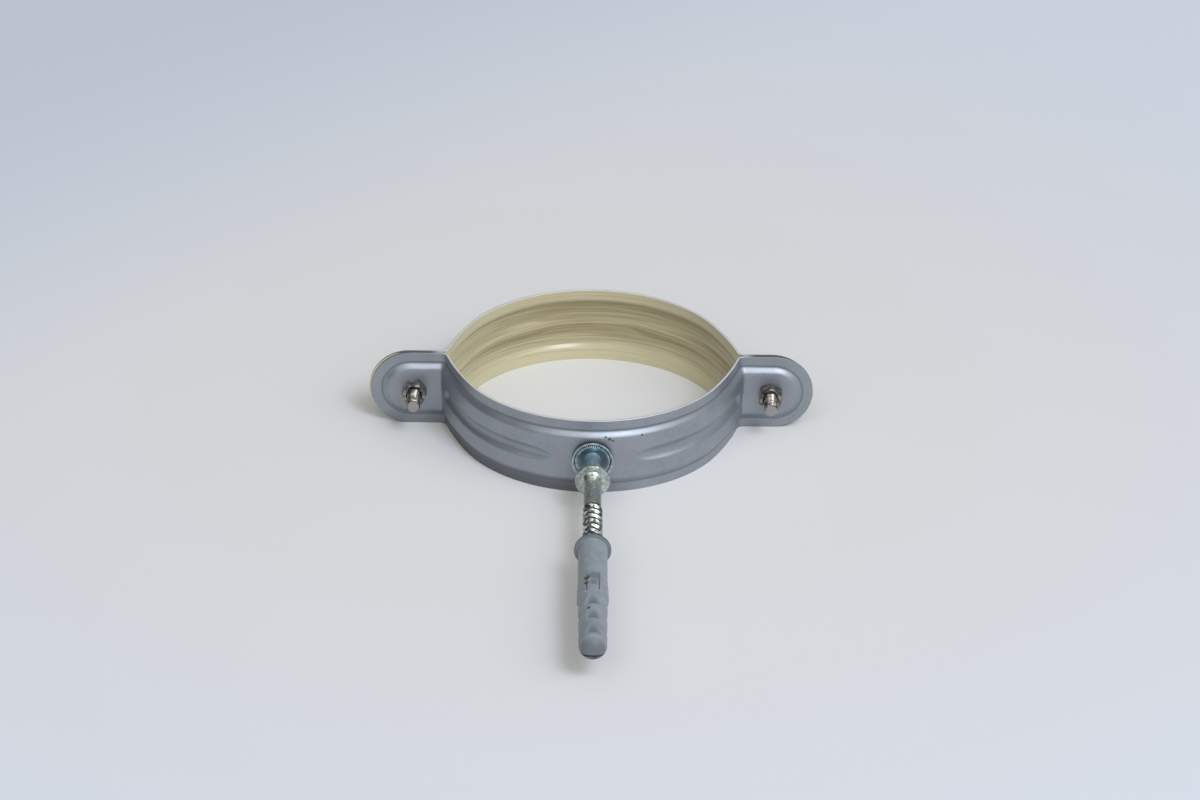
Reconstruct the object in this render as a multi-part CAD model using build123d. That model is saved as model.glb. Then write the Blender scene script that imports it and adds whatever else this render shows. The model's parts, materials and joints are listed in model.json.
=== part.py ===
"""Two-half pipe clamp for a round downpipe, with its hanger screw and nylon wall plug.

Millimetres. The origin is the centre of the pipe bore at the middle of the band's width.
+Z runs along the pipe, -Y points at the wall along the hanger screw, and X runs from ear to ear.
"""

from build123d import *
from math import acos, atan2, cos, degrees, radians, sin, sqrt, tan
import os

# Pipe and pressed sheet
pipe_diameter = 100.0        # outside of the pipe that the rims grip
sheet = 0.8                  # coated steel sheet
band_width = 29.0            # along the pipe
rim_width = 4.2              # flat rim on each edge, to the corner of the fold
panel_rise = 1.5             # how far the middle panel stands proud of the rims
step_run = 1.9               # width of the slope between rim and panel, corner to corner
press_radius = 2.0           # inside radius at the foot of the slope
shoulder_radius = 0.8        # inside radius where the slope runs out into the panel
flare_start = 62.0           # the band hugs the pipe up to this angle from the middle of the half
flare_radius = 110.0         # and runs out to the ear on this wider curve
bend_radius = 2.9            # bore side radius where the band turns out into an ear
ear_reach = 80.9             # from the pipe axis to the tip of an ear
nut_setback = 5.06           # from the foot of the bend to the corners of a nut
ear_gap = 0.3                # between the mating ears when the clamp is shut
rear_trim_shift = 0.8        # the rear pressing is trimmed this far off centre, to the left

# Stiffening grooves pressed into the panel, two on each half
groove_radius = 4.0          # cross-section of the punch
groove_depth = 1.4
groove_start = 30.0          # full depth from here, in degrees from the middle of the half
groove_end = 71.2            # centre of the groove's round end, near the ear
groove_runout = 13.5         # straight run along which the punch leaves the sheet towards the middle

# Clamp screws and nuts, M5
screw_diameter = 5.0
screw_length = 18.0          # under the head
screw_end_chamfer = 0.4
screw_hole_clearance = 0.25  # radial, in the ears
head_diameter = 9.5
head_height = 3.4
head_rim = 1.3               # straight side of the pan head
recess_span = 5.0            # cross recess, tip to tip of its wings
recess_wing = 1.1
recess_depth = 2.0
recess_taper = 12.0
nut_across_flats = 8.0
nut_height = 4.7
nut_chamfer_angle = 30.0
thread_clearance = 0.06      # radial, between an outside thread and the bore it runs in
left_nut_turn = 8.0          # as the spanner left them, in degrees
right_nut_turn = 24.0

# Threaded bush, riveted through the middle of the front half
bush_bore_diameter = 6.0     # thread of the hanger screw, M6
bush_barrel_diameter = 8.4
bush_hole_clearance = 0.05
bush_flange_diameter = 15.0
bush_flange_thickness = 1.8
bush_dish_diameter = 10.8    # mouth of the dish in the flange
bush_dish_depth = 1.2
bush_mouth_clearance = 0.3   # radial, round the screw thread at the foot of the dish
rivet_lip_diameter = 10.6
rivet_lip_clearance = 0.35   # between the lip and the pipe
knurl_teeth = 64
knurl_depth = 0.35

# Hanger screw
neck_diameter = 5.2
neck_flare_diameter = 7.6    # where the neck runs into the collar
neck_flare_length = 7.0
collar_diameter = 12.4
collar_thickness = 1.7
collar_standoff = 68.5       # from the pipe axis to the wall side of the collar
collar_fillet = 0.8          # between collar and shank
shank_diameter = 6.3
shank_length = 20.5          # plain shank between collar and wood thread
wood_thread_diameter = 7.0
wood_thread_length = 70.0    # with its point
point_length = 9.0
point_tip_diameter = 0.8

# Wall plug
plug_diameter = 10.2         # smooth neck, pressed into the hole in the wall
plug_length = 66.0
plug_flange_diameter = 12.9
plug_flange_thickness = 0.8
plug_engagement = 43.5       # how much of the wood thread is in the plug
plug_clearance = 0.08        # radial, round the wood thread
plug_pilot_diameter = 3.0    # bore ahead of the screw point
plug_pilot_stop = 3.0        # solid nose beyond the pilot bore
plug_neck_length = 22.5      # smooth, from the flange to the tongues
plug_bulge_diameter = 10.8   # across the ends of the tongues
plug_bulge_length = 5.0
tongue_length = 12.4
tongue_width = 3.6
tongue_slot = 0.7
tooth_start = 43.6           # abrupt back of the first barb on the top, from the flange
tooth_pitch = 9.0
tooth_count = 3
tooth_depth = 1.0            # of a barb's sloping flat at its deep end, below the neck's radius
tooth_land = 0.8             # left between the back of a barb and the next flat
side_tooth_lead = 3.5        # the barbs on the sides come this much before those on the top
nose_diameter = 9.6          # the barbed stretch tapers to this
nose_radius = 3.6
slit_start = 29.8            # from the flange
slit_drop = 2.0              # from the plug's middle down to the slit
slit_width = 0.8

# Places worked out from the sizes above
bore_radius = pipe_diameter / 2
ear_face = ear_gap / 2                              # mating face of an ear, from the ear plane
panel_outside = panel_rise + sheet                  # outer face of the panel, from the rim's bore side
ear_seat = ear_face + panel_outside                 # where a nut or a screw head bears
ear_end_radius = band_width / 2
ear_end_centre = ear_reach - ear_end_radius
flare_x = -(flare_radius - bore_radius) * sin(radians(flare_start))     # centre of the right flare
flare_y = (flare_radius - bore_radius) * cos(radians(flare_start))
bend_y = -ear_face - bend_radius                    # centre of the right bend
flare_end = degrees(acos((flare_y - bend_y) / (flare_radius + bend_radius)))
bend_x = flare_x + (flare_radius + bend_radius) * sin(radians(flare_end))
nut_corner = nut_across_flats / sqrt(3)
screw_x = bend_x + nut_setback + nut_corner
panel_face = bore_radius + panel_outside            # outer face of the panel on the band
bush_front = panel_face + bush_flange_thickness
bush_mouth = bush_front - bush_dish_depth
rivet_lip_face = bore_radius + rivet_lip_clearance
shank_end = collar_standoff + shank_length
screw_tip = shank_end + wood_thread_length
plug_face = screw_tip - plug_engagement             # flange side of the plug, facing the band
plug_end = plug_face + plug_length
towards_wall = (0, -1, 0)


def at_angle(radius, angle):
    """A point on a circle round the pipe axis, the angle counted from -Y towards +X."""
    return Vector(radius * sin(radians(angle)), -radius * cos(radians(angle)), 0)


def band_arcs(offset, first, last):
    """The right side of the band's line moved out by an offset, from one angle to another."""
    hug = CenterArc((0, 0), bore_radius + offset, first - 90, flare_start - first)
    flare = CenterArc((flare_x, flare_y), flare_radius + offset, flare_start - 90, last - flare_start)
    return hug, flare


def turned(outline):
    """Revolve an outline drawn as (distance towards the wall, radius) about the Y axis."""
    plane = Plane(origin=(0, 0, 0), x_dir=towards_wall, z_dir=(0, 0, 1))
    return revolve(plane * make_face(outline), axis=Axis.Y)


def band_section(half=False):
    """The sheet cut across the band: X is outwards from the bore side, Y along the pipe.

    Both faces of the sheet are drawn as parallel outlines with matching corner radii.
    """
    edge = band_width / 2
    foot = edge - rim_width
    slope = atan2(panel_rise, step_run)
    shift = sheet * tan(slope / 2)
    inner = [(0, edge), (0, foot), (panel_rise, foot - step_run)]
    outer = [(sheet, edge), (sheet, foot + shift), (panel_outside, foot - step_run + shift)]
    inner_radii = [press_radius + sheet, shoulder_radius]
    outer_radii = [press_radius, shoulder_radius + sheet]
    if half:
        inner += [(panel_rise, 0)]
        outer += [(panel_outside, 0)]
    else:
        inner += [(x, -y) for x, y in reversed(inner)]
        outer += [(x, -y) for x, y in reversed(outer)]
        inner_radii += reversed(inner_radii)
        outer_radii += reversed(outer_radii)
    inner_line = FilletPolyline(*inner, radius=inner_radii)
    outer_line = FilletPolyline(*outer, radius=outer_radii)
    ends = [Line(inner[0], outer[0]), Line(inner[-1], outer[-1])]
    return make_face(inner_line.edges() + outer_line.edges() + ends)


def section_plane(origin, outward):
    """Stands a band section up at a point of the path, its X pointing outwards."""
    outward = Vector(outward)
    return Plane(origin=origin, x_dir=outward, z_dir=outward.cross(Vector(0, 0, 1)))


def ear_end(centre, side):
    """The round end of an ear: half a section turned about the ear's end centre."""
    face = section_plane((side * centre, -ear_face, 0), (0, -1, 0)) * band_section(half=True)
    axis = Axis((side * centre, 0, 0), (0, side, 0))
    return revolve(face, axis=axis, revolution_arc=180)


def groove_punch(radius):
    """The right groove's punch: it follows the band, leaves it straight and ends round at the ear."""
    offset = panel_outside + groove_radius - groove_depth
    hug, flare = band_arcs(offset, groove_start, groove_end)
    ahead = at_angle(1, groove_start + 90)
    first = hug @ 0
    start = first - ahead * groove_runout
    punch = sweep(Plane(origin=start, z_dir=ahead) * Circle(radius), path=Line(start, first) + hug + flare)
    return punch + Pos(flare @ 1) * Sphere(radius)


def inside_panel():
    """Everything on the bore side of the right panel's outer face."""
    hug, flare = band_arcs(panel_outside, 0, flare_end)
    outline = [Line((0, 0), hug @ 0), hug, flare, Line(flare @ 1, (0, 0))]
    return extrude(make_face(outline), band_width / 2, both=True)


def half_band(left_centre, right_centre):
    """One pressed half, on the -Y side of the ear plane."""
    left = Vector(-left_centre, -ear_face)
    right = Vector(right_centre, -ear_face)
    path = Line(left, (-bend_x, -ear_face))
    path += CenterArc((-bend_x, bend_y), bend_radius, 90, -flare_end)
    path += CenterArc((-flare_x, flare_y), flare_radius, -90 - flare_end, flare_end - flare_start)
    path += CenterArc((0, 0), bore_radius, -90 - flare_start, 2 * flare_start)
    path += CenterArc((flare_x, flare_y), flare_radius, flare_start - 90, flare_end - flare_start)
    path += CenterArc((bend_x, bend_y), bend_radius, 90 + flare_end, -flare_end)
    path += Line((bend_x, -ear_face), right)
    half = sweep(section_plane(left, (0, -1, 0)) * band_section(), path=path)
    half += ear_end(left_centre, -1)
    half += ear_end(right_centre, 1)
    groove_wall = groove_punch(groove_radius + sheet) & inside_panel()
    groove_tool = groove_punch(groove_radius)
    half += [groove_wall, mirror(groove_wall, about=Plane.YZ)]
    half -= [groove_tool, mirror(groove_tool, about=Plane.YZ)]
    screw_hole = Cylinder(screw_diameter / 2 + screw_hole_clearance, 4 * ear_seat)
    for side in (-1, 1):
        half -= Location((side * screw_x, 0, 0), (90, 0, 0)) * screw_hole
    return half


def front_half_band():
    hole = Cylinder(bush_barrel_diameter / 2 + bush_hole_clearance, 4 * panel_outside)
    return half_band(ear_end_centre, ear_end_centre) - Location((0, -bore_radius, 0), (90, 0, 0)) * hole


def rear_half_band():
    half = half_band(ear_end_centre + rear_trim_shift, ear_end_centre - rear_trim_shift)
    return mirror(half, about=Plane.XZ)


def threaded_bush():
    """Knurled and dished flange outside the band, barrel through it, riveted lip inside."""
    barrel = bush_barrel_diameter / 2
    bore = bush_bore_diameter / 2 + thread_clearance
    lip = rivet_lip_diameter / 2
    lip_seat = sqrt((bore_radius + panel_rise) ** 2 - lip ** 2)
    stem = turned(Polyline(
        (rivet_lip_face, bore),
        (rivet_lip_face, lip),
        (lip_seat, lip),
        (lip_seat, barrel),
        (bush_mouth, barrel),
        (bush_mouth, bore),
        close=True,
    ))
    tip_radius = bush_flange_diameter / 2
    radii = [tip_radius, tip_radius - knurl_depth] * knurl_teeth
    step = radians(180 / knurl_teeth)
    teeth = Polygon(*[(r * cos(i * step), r * sin(i * step)) for i, r in enumerate(radii)], align=None)
    flange = extrude(Plane((0, -panel_face, 0), z_dir=towards_wall) * teeth, bush_flange_thickness)
    dish = turned(Polyline(
        (bush_mouth, 0),
        (bush_mouth, bore + bush_mouth_clearance),
        (bush_front, bush_dish_diameter / 2),
        (bush_front, 0),
        close=True,
    ))
    hole = turned(Polyline(
        (panel_face, 0),
        (panel_face, bore),
        (bush_mouth, bore),
        (bush_mouth, 0),
        close=True,
    ))
    return stem + (flange - dish - hole)


def hanger_screw():
    """Machine thread in the bush, waisted neck, collar, plain shank and wood thread, in one piece."""
    thread = bush_bore_diameter / 2
    neck = neck_diameter / 2
    flare = neck_flare_diameter / 2
    shank = shank_diameter / 2
    wood = wood_thread_diameter / 2
    collar_back = collar_standoff - collar_thickness
    point = screw_tip - point_length
    profile = Polyline(
        (collar_back, flare),
        (collar_back, collar_diameter / 2),
        (collar_standoff, collar_diameter / 2),
        (collar_standoff, shank + collar_fillet),
        (collar_standoff + collar_fillet, shank),
        (shank_end, shank),
        (shank_end, wood),
        (point, wood),
        (screw_tip, point_tip_diameter / 2),
        (screw_tip, 0),
        (rivet_lip_face, 0),
        (rivet_lip_face, thread),
        (bush_mouth, thread),
        (bush_mouth, neck),
        (collar_back - neck_flare_length, neck),
    )
    flare_curve = TangentArc((collar_back - neck_flare_length, neck), (collar_back, flare), tangent=(1, 0))
    return turned(profile.edges() + [flare_curve])


def barb_cut(back):
    """The sloping flat in front of one barb, cut into the top of the plug."""
    flat_start = max(plug_face + plug_neck_length + tongue_length, back - tooth_pitch + tooth_land)
    neck = plug_diameter / 2
    wedge = Polyline(
        (flat_start, neck),
        (back, neck - tooth_depth),
        (back, plug_flange_diameter),
        (flat_start, plug_flange_diameter),
        close=True,
    )
    side_view = Plane(origin=(0, 0, 0), x_dir=towards_wall, z_dir=(-1, 0, 0))
    return extrude(side_view * make_face(wedge), plug_diameter, both=True)


def wall_plug():
    """Nylon plug: flange, neck, bulge with two locking tongues, barbs on four sides, and a split nose."""
    neck = plug_diameter / 2
    nose = nose_diameter / 2
    bulge = plug_bulge_diameter / 2
    bore = wood_thread_diameter / 2 + plug_clearance
    pilot = plug_pilot_diameter / 2
    tongue_start = plug_face + plug_neck_length
    tongue_end = tongue_start + tongue_length
    outline = Polyline(
        (plug_end, nose - nose_radius),
        (plug_end, 0),
        (plug_face, 0),
        (plug_face, plug_flange_diameter / 2),
        (plug_face + plug_flange_thickness, plug_flange_diameter / 2),
        (plug_face + plug_flange_thickness, neck),
        (tongue_start, neck),
        (tongue_end - plug_bulge_length, bulge),
        (tongue_end, bulge),
        (tongue_end, neck),
        (plug_end - nose_radius, nose),
    )
    body = turned(outline.edges() + [RadiusArc(outline @ 1, outline @ 0, nose_radius)])
    for i in range(tooth_count):
        back = plug_face + tooth_start + i * tooth_pitch
        for turn in (0, 180):
            body -= Rot(0, turn, 0) * barb_cut(back)
            body -= Rot(0, turn + 90, 0) * barb_cut(back - side_tooth_lead)
    pilot_end = plug_end - plug_pilot_stop
    body -= turned(Polyline(
        (plug_face, 0),
        (plug_face, bore),
        (screw_tip, bore),
        (screw_tip + bore - pilot, pilot),
        (pilot_end, pilot),
        (pilot_end, 0),
        close=True,
    ))
    slit_length = plug_length - slit_start
    slit = Box(plug_flange_diameter, slit_length, slit_width)
    body -= Pos(0, -(plug_face + slit_start + slit_length / 2), -slit_drop) * slit
    slot = Box(tongue_slot, tongue_length, plug_flange_diameter)
    for side in (-1, 1):
        body -= Pos(side * (tongue_width + tongue_slot) / 2, -(tongue_start + tongue_end) / 2, 0) * slot
    return body


def clamp_screw(side):
    """Pan head screw put in from the rear, with a cross recess."""
    head = head_diameter / 2
    shank = screw_diameter / 2
    end = screw_length - ear_seat
    crown = -ear_seat - head_height
    crown_rim = -ear_seat - head_rim
    body = Polyline(
        (crown_rim, head),
        (-ear_seat, head),
        (-ear_seat, shank),
        (end - screw_end_chamfer, shank),
        (end, shank - screw_end_chamfer),
        (end, 0),
        (crown, 0),
    )
    dome = TangentArc((crown, 0), (crown_rim, head), tangent=(0, 1))
    screw = turned(body.edges() + [dome])
    wings = Rectangle(recess_span, recess_wing) + Rectangle(recess_wing, recess_span)
    recess = extrude(Plane((0, -crown, 0), z_dir=towards_wall) * wings, recess_depth, taper=recess_taper)
    return Pos(side * screw_x, 0, 0) * (screw - recess)


def clamp_nut(side, turn):
    """Plain hexagon nut against the front ear, chamfered on both faces."""
    flat = nut_across_flats / 2
    drop = (nut_corner - flat) * tan(radians(nut_chamfer_angle))
    top = ear_seat + nut_height
    hexagon = RegularPolygon(nut_corner, 6, rotation=30 + turn)
    nut = extrude(Plane((0, -ear_seat, 0), z_dir=towards_wall) * hexagon, nut_height)
    nut &= turned(Polyline(
        (ear_seat, 0),
        (ear_seat, flat),
        (ear_seat + drop, nut_corner),
        (top - drop, nut_corner),
        (top, flat),
        (top, 0),
        close=True,
    ))
    thread = screw_diameter / 2 + thread_clearance
    nut -= turned(Polyline((ear_seat, 0), (ear_seat, thread), (top, thread), (top, 0), close=True))
    return Pos(side * screw_x, 0, 0) * nut


parts = {
    "front_half_band": front_half_band(),
    "rear_half_band": rear_half_band(),
    "threaded_bush": threaded_bush(),
    "hanger_screw": hanger_screw(),
    "wall_plug": wall_plug(),
    "left_clamp_screw": clamp_screw(-1),
    "right_clamp_screw": clamp_screw(1),
    "left_clamp_nut": clamp_nut(-1, left_nut_turn),
    "right_clamp_nut": clamp_nut(1, right_nut_turn),
}

os.makedirs("parts", exist_ok=True)
for name, part in parts.items():
    export_step(part, f"parts/{name}.step")
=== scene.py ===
import json
from math import acos, atan2, cos, pi, radians, sin, sqrt, tan

import bmesh
import bpy
import numpy as np
from mathutils import Matrix, Vector


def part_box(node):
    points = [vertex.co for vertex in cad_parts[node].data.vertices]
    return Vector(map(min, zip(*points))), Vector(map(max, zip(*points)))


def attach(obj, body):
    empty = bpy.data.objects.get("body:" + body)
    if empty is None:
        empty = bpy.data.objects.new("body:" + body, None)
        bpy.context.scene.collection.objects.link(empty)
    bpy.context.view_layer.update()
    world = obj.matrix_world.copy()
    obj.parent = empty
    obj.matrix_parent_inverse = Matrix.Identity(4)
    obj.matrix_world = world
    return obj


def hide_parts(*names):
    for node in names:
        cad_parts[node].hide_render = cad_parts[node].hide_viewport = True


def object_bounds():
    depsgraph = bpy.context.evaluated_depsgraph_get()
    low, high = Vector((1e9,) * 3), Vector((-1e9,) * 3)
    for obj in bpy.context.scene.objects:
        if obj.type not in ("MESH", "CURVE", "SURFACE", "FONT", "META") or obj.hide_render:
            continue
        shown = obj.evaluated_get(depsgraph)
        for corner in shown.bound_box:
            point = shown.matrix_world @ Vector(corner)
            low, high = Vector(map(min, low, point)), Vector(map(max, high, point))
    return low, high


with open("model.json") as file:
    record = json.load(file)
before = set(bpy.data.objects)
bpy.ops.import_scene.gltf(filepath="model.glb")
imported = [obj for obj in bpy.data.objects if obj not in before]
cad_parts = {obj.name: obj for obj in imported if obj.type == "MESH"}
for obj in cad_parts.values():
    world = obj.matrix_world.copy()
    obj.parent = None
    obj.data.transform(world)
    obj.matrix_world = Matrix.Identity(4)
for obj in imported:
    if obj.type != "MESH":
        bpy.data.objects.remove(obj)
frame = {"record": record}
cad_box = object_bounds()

scene = bpy.context.scene
scene.view_settings.view_transform = "Standard"
MM = 0.001


# ---------------------------------------------------------------------------------------------------------
# Half bands
# Each half is one blank of pre-painted sheet steel, silver on the outside and cream on the back. The panel
# and the two grooves are pressed into it flat, and it is then bent round the pipe with an ear at each end.
# ---------------------------------------------------------------------------------------------------------
front_low, front_high = (Vector(corner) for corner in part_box("front_half_band"))
rear_low, rear_high = (Vector(corner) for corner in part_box("rear_half_band"))
bore_radius = frame["record"]["mounts"][0]["dims"]["r_mm"] * MM
ear_face = -front_high.y                    # mating face of an ear, from the plane between the halves
panel_outside = -front_low.y - bore_radius
blank_radius = (front_high.z - front_low.z) / 2
sheet = 0.8 * MM
rim_width = 3.5 * MM
step_run = 3.2 * MM                         # all of the slope, with its rounded foot and shoulder
panel_rise = panel_outside - sheet
flare_start = radians(62.0)                 # the band hugs the pipe up to here, then runs out to the ear
flare_radius = 110.0 * MM
bend_radius = 3.5 * MM
groove_depth = 1.35 * MM
groove_radius = 3.7 * MM
groove_start = radians(30.0)                # full depth from here to the round end near the ear
groove_end = radians(71.2)

flare_x = -(flare_radius - bore_radius) * sin(flare_start)
flare_y = (flare_radius - bore_radius) * cos(flare_start)
bend_y = -ear_face - bend_radius
flare_end = acos((flare_y - bend_y) / (flare_radius + bend_radius))
bend_x = flare_x + (flare_radius + bend_radius) * sin(flare_end)
hug_run = bore_radius * flare_start         # along the band, from the middle of the half
flare_run = hug_run + flare_radius * (flare_end - flare_start)
bend_run = flare_run + bend_radius * flare_end
spare_run = 40 * MM                         # straight ends of the forming path


def add(tree, kind, settings=None, feeds=None):
    """A node with its settings, its inputs fed by values or by other nodes' sockets."""
    node = tree.nodes.new(kind)
    for name, value in (settings or {}).items():
        setattr(node, name, value)
    for name, value in (feeds or {}).items():
        if isinstance(value, bpy.types.NodeSocket):
            tree.links.new(value, node.inputs[name])
        else:
            node.inputs[name].default_value = value
    return node


def calc(tree, operation, *values):
    """The value of a Math node."""
    return add(tree, "ShaderNodeMath", {"operation": operation}, dict(enumerate(values))).outputs[0]


def product(tree, first, *others):
    """Several values multiplied."""
    for other in others:
        first = calc(tree, "MULTIPLY", first, other)
    return first


def axes(tree, place):
    """The X, Y and Z of a vector."""
    return add(tree, "ShaderNodeSeparateXYZ", feeds={0: place}).outputs


def combined(tree, *values):
    """A vector from its X, Y and Z."""
    return add(tree, "ShaderNodeCombineXYZ", feeds=dict(enumerate(values))).outputs[0]


def vector_math(tree, operation, *values, result="Vector"):
    """The outcome of a Vector Math node."""
    node = add(tree, "ShaderNodeVectorMath", {"operation": operation}, dict(enumerate(values)))
    return node.outputs[result]


def ramp(tree, value, low, high, start=0.0, end=1.0, kind="SMOOTHSTEP"):
    """The value mapped from low..high to start..end and held outside it."""
    feeds = {"Value": value, "From Min": low, "From Max": high, "To Min": start, "To Max": end}
    return add(tree, "ShaderNodeMapRange", {"interpolation_type": kind}, feeds).outputs[0]


def growing_tree(name, sizes, objects=()):
    """An empty Geometry Nodes tree with named inputs, and its input and output nodes."""
    tree = bpy.data.node_groups.new(name, "GeometryNodeTree")
    tree.interface.new_socket("Geometry", in_out="INPUT", socket_type="NodeSocketGeometry")
    for size in sizes:
        tree.interface.new_socket(size, in_out="INPUT", socket_type="NodeSocketFloat")
    for label in objects:
        tree.interface.new_socket(label, in_out="INPUT", socket_type="NodeSocketObject")
    tree.interface.new_socket("Material", in_out="INPUT", socket_type="NodeSocketMaterial")
    tree.interface.new_socket("Geometry", in_out="OUTPUT", socket_type="NodeSocketGeometry")
    return tree, tree.nodes.new("NodeGroupInput").outputs, tree.nodes.new("NodeGroupOutput").inputs


def hand_out(tree, geometry, given, made):
    """Gives a tree's result its material and sends it out."""
    dress = add(tree, "GeometryNodeSetMaterial", feeds={"Geometry": geometry, "Material": given["Material"]})
    tree.links.new(dress.outputs[0], made["Geometry"])


def grow(obj, tree, values):
    """Runs a tree on the object and keeps the result as its plain mesh."""
    modifier = obj.modifiers.new("grow", "NODES")
    modifier.node_group = tree
    sockets = {item.name: item.identifier for item in tree.interface.items_tree if item.in_out == "INPUT"}
    for label, value in values.items():
        modifier[sockets[label]] = value
    settle(obj)


def settle(obj):
    """Turns the object's modifiers into its plain mesh."""
    bpy.context.view_layer.update()
    evaluated = obj.evaluated_get(bpy.context.evaluated_depsgraph_get())
    mesh = bpy.data.meshes.new_from_object(evaluated)
    obj.modifiers.clear()
    obj.data = mesh


def piece(name, verts, faces, smooth=True):
    """A new object in the scene from points and faces."""
    mesh = bpy.data.meshes.new(name)
    mesh.from_pydata([tuple(v) for v in verts], [], faces)
    mesh.validate()
    if smooth:
        mesh.polygons.foreach_set("use_smooth", [True] * len(mesh.polygons))
    obj = bpy.data.objects.new(name, mesh)
    scene.collection.objects.link(obj)
    return obj


def blank_outline(inset, left, right, runs):
    """The blank's outline moved in by inset: two straight sides and two round ends, always as many points."""
    radius = blank_radius - inset
    turns = np.linspace(0, pi, 41)[1:-1]
    side = [(u, radius) for u in runs]
    right_end = [(right + radius * sin(t), radius * cos(t)) for t in turns]
    back = [(u, -radius) for u in reversed(runs)]
    left_end = [(-left - radius * sin(t), -radius * cos(t)) for t in turns]
    return side + right_end + back + left_end


def flat_blank(name, left_reach, right_reach):
    """The blank before it is pressed, in loops that follow its edge, each point knowing how far off it is."""
    left, right = (bend_run + reach - bend_x - blank_radius for reach in (left_reach, right_reach))
    half_runs = np.concatenate((
        np.linspace(0, hug_run, 71),
        np.linspace(hug_run, flare_run, 41)[1:],
        np.linspace(flare_run, bend_run, 17)[1:],
    ))
    left_ear = np.linspace(-left, -bend_run, 17)[:-1]
    right_ear = np.linspace(bend_run, right, 17)[1:]
    runs = [*left_ear, *-half_runs[:0:-1], *half_runs, *right_ear]
    step_end = rim_width + step_run
    groove_edge = blank_radius - 1.2 * groove_radius
    insets = np.concatenate((
        [0, 0.15 * MM, 0.6 * MM],
        np.linspace(1.4 * MM, rim_width, 4),
        np.linspace(rim_width, step_end, 15)[1:],
        np.linspace(step_end, groove_edge, 3)[1:],
        np.linspace(groove_edge, blank_radius, 21)[1:],
    ))
    loops = [blank_outline(inset, left, right, runs) for inset in insets]
    count = len(loops[0])
    verts = [(u, v, 0) for loop in loops for u, v in loop]
    faces = []
    for j in range(len(loops) - 1):
        for i in range(count):
            k = (i + 1) % count
            faces.append((j * count + i, (j + 1) * count + i, (j + 1) * count + k, j * count + k))
    obj = piece(name, verts, faces)
    edge = obj.data.attributes.new("edge", "FLOAT", "POINT")
    edge.data.foreach_set("value", np.repeat(insets, count))
    joined = bmesh.new()
    joined.from_mesh(obj.data)
    bmesh.ops.remove_doubles(joined, verts=joined.verts, dist=0.01 * MM)
    joined.to_mesh(obj.data)
    joined.free()
    return obj


def forming_path(name):
    """The line that the blank is bent to: ear, bend, half the pipe's circle, bend and ear."""
    right_half = [(bore_radius * sin(a), -bore_radius * cos(a)) for a in np.linspace(0, flare_start, 241)]
    right_half += [(flare_x + flare_radius * sin(a), flare_y - flare_radius * cos(a))
                   for a in np.linspace(flare_start, flare_end, 81)[1:]]
    right_half += [(bend_x - bend_radius * sin(a), bend_y + bend_radius * cos(a))
                   for a in np.linspace(flare_end, 0, 61)[1:]]
    right_half += [(bend_x + spare_run, -ear_face)]
    points = [(-x, y) for x, y in reversed(right_half)] + right_half[1:]
    curve = bpy.data.curves.new(name, "CURVE")
    curve.dimensions = "3D"
    spline = curve.splines.new("POLY")
    spline.points.add(len(points) - 1)
    for point, (x, y) in zip(spline.points, points):
        point.co = (x, y, 0, 1)
    obj = bpy.data.objects.new(name, curve)
    scene.collection.objects.link(obj)
    return obj


band_sizes = {
    "Rim width": rim_width,
    "Step run": step_run,
    "Panel rise": panel_rise,
    "Groove depth": groove_depth,
    "Groove radius": groove_radius,
    "Groove start": groove_start * bore_radius,
    "Groove end": hug_run + (groove_end - flare_start) * flare_radius,
    "Groove runout radius": bore_radius + panel_outside,
    "Middle of the path": bend_run + spare_run,
}
form, given, made = growing_tree("Press and bend a band", band_sizes, objects=("Path",))
at = axes(form, add(form, "GeometryNodeInputPosition").outputs[0])
edge = add(form, "GeometryNodeInputNamedAttribute", {"data_type": "FLOAT"}, {"Name": "edge"}).outputs[0]

# The slope rises gently from the rim, is steepest near its top and turns sharply into the panel.
climb_end = calc(form, "ADD", given["Rim width"], given["Step run"])
climb = ramp(form, edge, given["Rim width"], climb_end, kind="LINEAR")
panel = ramp(form, calc(form, "POWER", climb, 1.35), 0.0, 1.0)

# The groove is what a round punch leaves: shallower towards the middle, with a ball end by the ear.
along = calc(form, "ABSOLUTE", at[0])


def fall(value, radius):
    """How far a circle of this radius has fallen away at that distance from its top."""
    return calc(form, "DIVIDE", calc(form, "MULTIPLY", value, value), calc(form, "MULTIPLY", radius, 2.0))


short_of = calc(form, "MAXIMUM", calc(form, "SUBTRACT", given["Groove start"], along), 0.0)
past = calc(form, "MAXIMUM", calc(form, "SUBTRACT", along, given["Groove end"]), 0.0)
punch = calc(form, "SUBTRACT", given["Groove depth"], fall(at[1], given["Groove radius"]))
punch = calc(form, "SUBTRACT", punch, fall(short_of, given["Groove runout radius"]))
punch = calc(form, "SUBTRACT", punch, fall(past, given["Groove radius"]))
groove = calc(form, "SMOOTH_MAX", punch, 0.0, 0.1 * MM)
rise = calc(form, "SUBTRACT", calc(form, "MULTIPLY", panel, given["Panel rise"]), groove)
path = add(form, "GeometryNodeObjectInfo", feeds={0: given["Path"]}).outputs["Geometry"]
sample = add(
    form, "GeometryNodeSampleCurve", {"mode": "LENGTH", "use_all_curves": True},
    {"Curves": path, "Length": calc(form, "ADD", at[0], given["Middle of the path"])},
)
outward = vector_math(form, "CROSS_PRODUCT", sample.outputs["Tangent"], (0, 0, 1))
lift = add(form, "ShaderNodeVectorMath", {"operation": "SCALE"}, {0: outward, "Scale": rise}).outputs[0]
stand = vector_math(form, "ADD", sample.outputs["Position"], lift)
place = vector_math(form, "ADD", stand, combined(form, 0.0, 0.0, at[1]))
keep = add(
    form, "GeometryNodeStoreNamedAttribute", {"data_type": "FLOAT_VECTOR", "domain": "POINT"},
    {"Geometry": given["Geometry"], "Name": "blank", "Value": combined(form, at[0], at[1], edge)},
)
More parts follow.
